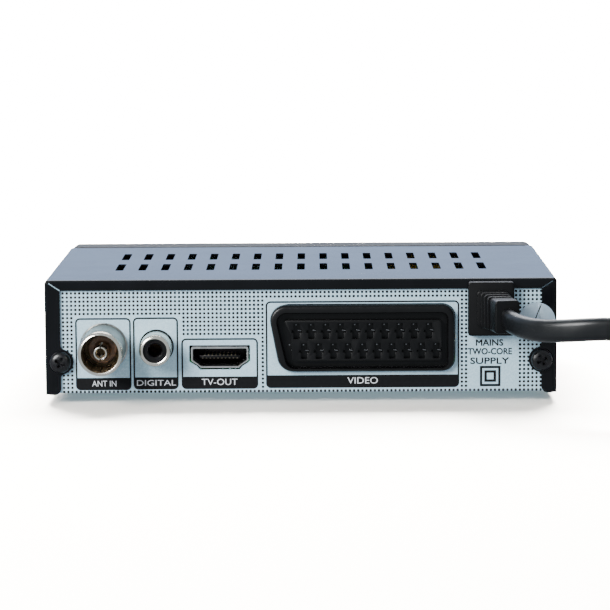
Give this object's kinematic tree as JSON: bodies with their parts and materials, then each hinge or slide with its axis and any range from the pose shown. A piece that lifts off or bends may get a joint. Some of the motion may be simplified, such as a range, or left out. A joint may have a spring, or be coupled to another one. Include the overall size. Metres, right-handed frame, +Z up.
{
  "type": "set-top digital video recorder",
  "caption": "Flat folded-steel set-top receiver and recorder with moulded front, push buttons, rear aerial, audio and picture sockets, and a fixed coiled mains lead.",
  "frame": {"origin": "on the standing surface under the middle of the recorder, measured without its lead", "axes": "+Z up, +Y towards the rear sockets, +X to the right seen from the front"},
  "size_m": [0.245, 0.1276, 0.0329],
  "materials": {
    "black_painted_steel": "semi-gloss black enamel on folded sheet",
    "silver_painted_steel": "satin silver-blue coat on folded sheet",
    "black_abs": "fine moulded texture",
    "smoked_acrylic": "polished dark tint",
    "silver_button_plastic": "satin silver lacquer",
    "clear_plastic": "clear moulded",
    "foot_rubber": "matt pads",
    "black_oxide_steel": "black finished screws",
    "silver_label": "satin foil paper",
    "nickel_plate": "bright nickel plating",
    "tan_insulator": "moulded insulator",
    "tinplate": "tinned sheet",
    "black_socket_plastic": "glass-filled moulding",
    "gold_plate": "gold flash on contacts",
    "black_pvc": "soft satin PVC",
    "white_tie": "paper and wire tie",
    "green_laminate": "solder mask",
    "ferrite": "ground ferrite",
    "yellow_tape": "polyester tape",
    "capacitor_sleeve": "shrunk sleeve",
    "fuse_glass": "clear tube with plated ends",
    "black_epoxy": "moulded package",
    "copper_winding": "enamelled wire",
    "white_nylon": "moulded",
    "wire_insulation": "wire insulation",
    "ivory_sheet": "pressed insulating board",
    "red_diffused_plastic": "diffused lens",
    "grey_ribbon": "flat cable",
    "aluminium_extrusion": "extruded"
  },
  "bodies": {
    "case": {"base_tray": "silver_painted_steel", "top_cover": "black_painted_steel", "front_bezel": "black_abs", "display_window": "smoked_acrylic", "standby_light_pipe": "clear_plastic", "rubber_feet": "foot_rubber", "cover_screws": "black_oxide_steel", "round_sticker": "silver_label", "rf_socket_barrel": "nickel_plate", "rf_socket_insulator": "tan_insulator", "rf_center_contact": "nickel_plate", "tuner_can": "tinplate", "rca_socket_shell": "nickel_plate", "rca_socket_body": "black_socket_plastic", "rca_center_contact": "gold_plate", "hdmi_socket_shell": "tinplate", "hdmi_socket_tongue": "black_socket_plastic", "hdmi_contacts": "gold_plate", "scart_housing": "black_socket_plastic", "scart_contacts": "gold_plate", "cord_strain_relief": "black_pvc", "mains_lead": "black_pvc", "mains_lead_coil": "black_pvc", "mains_lead_tail": "black_pvc", "coil_tie": "white_tie", "mains_plug_body": "black_pvc", "mains_plug_pins": "nickel_plate", "main_board": "green_laminate", "board_screws": "tinplate", "transformer_core": "ferrite", "transformer_winding": "yellow_tape", "bulk_capacitor": "capacitor_sleeve", "small_capacitors": "capacitor_sleeve", "mains_fuse": "fuse_glass", "filter_capacitor": "yellow_tape", "bridge_rectifier": "black_epoxy", "power_inductors": "copper_winding", "mains_header": "white_nylon", "mains_wires": "wire_insulation", "insulation_sheet": "ivory_sheet", "main_chip": "black_epoxy", "heat_sink": "aluminium_extrusion", "memory_chips": "black_epoxy", "crystal": "tinplate", "front_board": "green_laminate", "front_board_screws": "tinplate", "digit_display": "white_nylon", "tact_switches": "black_socket_plastic", "infrared_receiver": "black_socket_plastic", "standby_led": "red_diffused_plastic", "usb_socket_shell": "tinplate", "usb_socket_tongue": "black_socket_plastic", "ribbon_cable": "grey_ribbon"},
    "power_button_body": {"power_button": "silver_button_plastic", "power_plunger": "white_nylon"},
    "channel_down_body": {"channel_down_button": "silver_button_plastic", "channel_down_plunger": "white_nylon"},
    "channel_up_body": {"channel_up_button": "silver_button_plastic", "channel_up_plunger": "white_nylon"}
  },
  "joints": [
    {"name": "power_button_press", "type": "slide", "parent": "case", "child": "power_button_body", "axis": [0, 1, 0], "range_m": [0, 0.0005], "stiffness_N_per_m": 2500},
    {"name": "channel_down_press", "type": "slide", "parent": "case", "child": "channel_down_body", "axis": [0, 1, 0], "range_m": [0, 0.0005], "stiffness_N_per_m": 2500},
    {"name": "channel_up_press", "type": "slide", "parent": "case", "child": "channel_up_body", "axis": [0, 1, 0], "range_m": [0, 0.0005], "stiffness_N_per_m": 2500}
  ]
}
